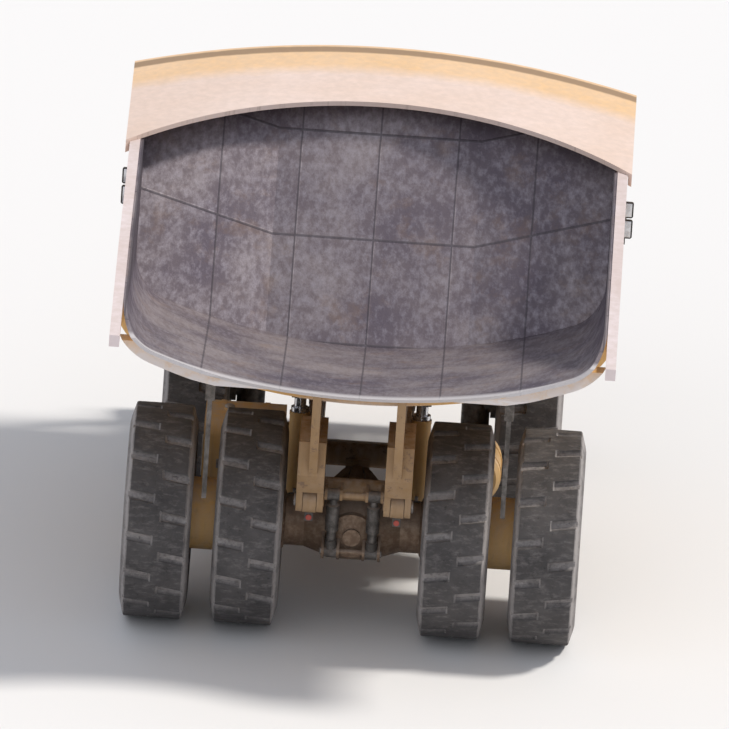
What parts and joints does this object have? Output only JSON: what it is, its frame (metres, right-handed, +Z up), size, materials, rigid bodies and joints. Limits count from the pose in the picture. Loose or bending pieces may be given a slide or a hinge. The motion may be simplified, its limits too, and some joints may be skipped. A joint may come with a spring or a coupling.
{
  "type": "mining dump truck",
  "caption": "rigid-frame mining dump truck with a tipping rock body under a canopy, twin rear tyres, a cab on a high deck and two hoist cylinders",
  "frame": {"origin": "on the ground below the middle of the overall length, on the centre line", "axes": "+Y is the driving direction, +X the truck's right side, +Z up"},
  "size_m": [8.66, 12.558, 6.9],
  "materials": {
    "yellow_paint": "worn dusty orange-yellow paint",
    "canopy_paint": "sun-faded dusty paint",
    "bed_steel": "worn and dusty steel plate",
    "tyre": "dusty",
    "dark_steel": "dark and oily",
    "deck_grey": "anti-slip grey",
    "rod_chrome": "polished",
    "glass": "tinted",
    "trim": "matte",
    "lamp": "clear"
  },
  "bodies": {
    "chassis": {"frame": "yellow_paint", "engine_block": "dark_steel", "radiator": "yellow_paint", "front_bumper": "yellow_paint", "deck": "deck_grey", "stairs": "deck_grey", "handrails": "yellow_paint", "cab_shell": "yellow_paint", "cab_glass": "glass", "cab_interior": "trim", "mirrors": "trim", "lamps": "lamp", "fuel_tank": "yellow_paint", "hydraulic_tank": "yellow_paint", "air_cleaners": "yellow_paint", "control_cabinet": "yellow_paint", "front_struts": "dark_steel", "rear_axle": "dark_steel", "rear_struts": "dark_steel"},
    "cab_door": {"door": "yellow_paint", "door_glass": "glass"},
    "knuckle_left": {"knuckle_left": "dark_steel"},
    "knuckle_right": {"knuckle_right": "dark_steel"},
    "tie_rod": {"tie_rod": "dark_steel"},
    "front_wheel_left": {"front_tyre_left": "tyre", "front_rim_left": "yellow_paint"},
    "front_wheel_right": {"front_tyre_right": "tyre", "front_rim_right": "yellow_paint"},
    "rear_wheels_left": {"rear_tyres_left": "tyre", "rear_rims_left": "yellow_paint"},
    "rear_wheels_right": {"rear_tyres_right": "tyre", "rear_rims_right": "yellow_paint"},
    "dump_body": {"bed_shell": "bed_steel", "bed_ribs": "yellow_paint", "bed_beams": "yellow_paint", "bed_rails": "yellow_paint", "headboard": "bed_steel", "canopy": "canopy_paint", "rock_ejectors": "dark_steel"},
    "hoist_barrel_left": {"hoist_barrel_left": "yellow_paint"},
    "hoist_stage_left": {"hoist_stage_left": "rod_chrome"},
    "hoist_rod_left": {"hoist_rod_left": "rod_chrome"},
    "hoist_barrel_right": {"hoist_barrel_right": "yellow_paint"},
    "hoist_stage_right": {"hoist_stage_right": "rod_chrome"},
    "hoist_rod_right": {"hoist_rod_right": "rod_chrome"}
  },
  "joints": [
    {"name": "steer_left", "type": "hinge", "parent": "chassis", "child": "knuckle_left", "pos_m": [-1.9, 3.025, 1.795], "axis": [0, 0, 1], "range_deg": [-36, 36]},
    {"name": "steer_right", "type": "hinge", "parent": "chassis", "child": "knuckle_right", "pos_m": [1.9, 3.025, 1.795], "axis": [0, 0, 1], "range_deg": [-36, 36]},
    {"name": "tie_rod_swing", "type": "hinge", "parent": "knuckle_left", "child": "tie_rod", "pos_m": [-1.9, 2.325, 1.195], "axis": [0, 0, -1], "range_deg": [-36, 36]},
    {"name": "front_spin_left", "type": "hinge", "parent": "knuckle_left", "child": "front_wheel_left", "pos_m": [-2.805, 3.025, 1.795], "axis": [1, 0, 0], "continuous": true},
    {"name": "front_spin_right", "type": "hinge", "parent": "knuckle_right", "child": "front_wheel_right", "pos_m": [2.805, 3.025, 1.795], "axis": [1, 0, 0], "continuous": true},
    {"name": "rear_spin_left", "type": "hinge", "parent": "chassis", "child": "rear_wheels_left", "pos_m": [-3.235, -3.075, 1.795], "axis": [1, 0, 0], "continuous": true},
    {"name": "rear_spin_right", "type": "hinge", "parent": "chassis", "child": "rear_wheels_right", "pos_m": [3.235, -3.075, 1.795], "axis": [1, 0, 0], "continuous": true},
    {"name": "body_tip", "type": "hinge", "parent": "chassis", "child": "dump_body", "pos_m": [0, -4.225, 2.6], "axis": [1, 0, 0], "range_deg": [0, 45]},
    {"name": "hoist_swing_left", "type": "hinge", "parent": "chassis", "child": "hoist_barrel_left", "pos_m": [-1.02, -1.075, 1.2], "axis": [1, 0, 0], "range_deg": [0, 21.93]},
    {"name": "hoist_stage_slide_left", "type": "slide", "parent": "hoist_barrel_left", "child": "hoist_stage_left", "axis": [0, 0.0971, 0.9953], "range_m": [0, 1.1735]},
    {"name": "hoist_rod_slide_left", "type": "slide", "parent": "hoist_stage_left", "child": "hoist_rod_left", "axis": [0, 0.0971, 0.9953], "range_m": [0, 1.1735]},
    {"name": "hoist_swing_right", "type": "hinge", "parent": "chassis", "child": "hoist_barrel_right", "pos_m": [1.02, -1.075, 1.2], "axis": [1, 0, 0], "range_deg": [0, 21.93]},
    {"name": "hoist_stage_slide_right", "type": "slide", "parent": "hoist_barrel_right", "child": "hoist_stage_right", "axis": [0, 0.0971, 0.9953], "range_m": [0, 1.1735]},
    {"name": "hoist_rod_slide_right", "type": "slide", "parent": "hoist_stage_right", "child": "hoist_rod_right", "axis": [0, 0.0971, 0.9953], "range_m": [0, 1.1735]},
    {"name": "door_swing", "type": "hinge", "parent": "chassis", "child": "cab_door", "pos_m": [-2.926, 4.552, 4.6], "axis": [0, 0, -1], "range_deg": [0, 95]}
  ],
  "couplings": [
    {"joint": "steer_right", "follows": "steer_left", "ratio": 1},
    {"joint": "tie_rod_swing", "follows": "steer_left", "ratio": 1},
    {"joint": "hoist_swing_left", "follows": "body_tip", "ratio": 0.48725},
    {"joint": "hoist_stage_slide_left", "follows": "body_tip", "m_per_rad": 1.4941},
    {"joint": "hoist_rod_slide_left", "follows": "body_tip", "m_per_rad": 1.4941},
    {"joint": "hoist_swing_right", "follows": "body_tip", "ratio": 0.48725},
    {"joint": "hoist_stage_slide_right", "follows": "body_tip", "m_per_rad": 1.4941},
    {"joint": "hoist_rod_slide_right", "follows": "body_tip", "m_per_rad": 1.4941}
  ]
}
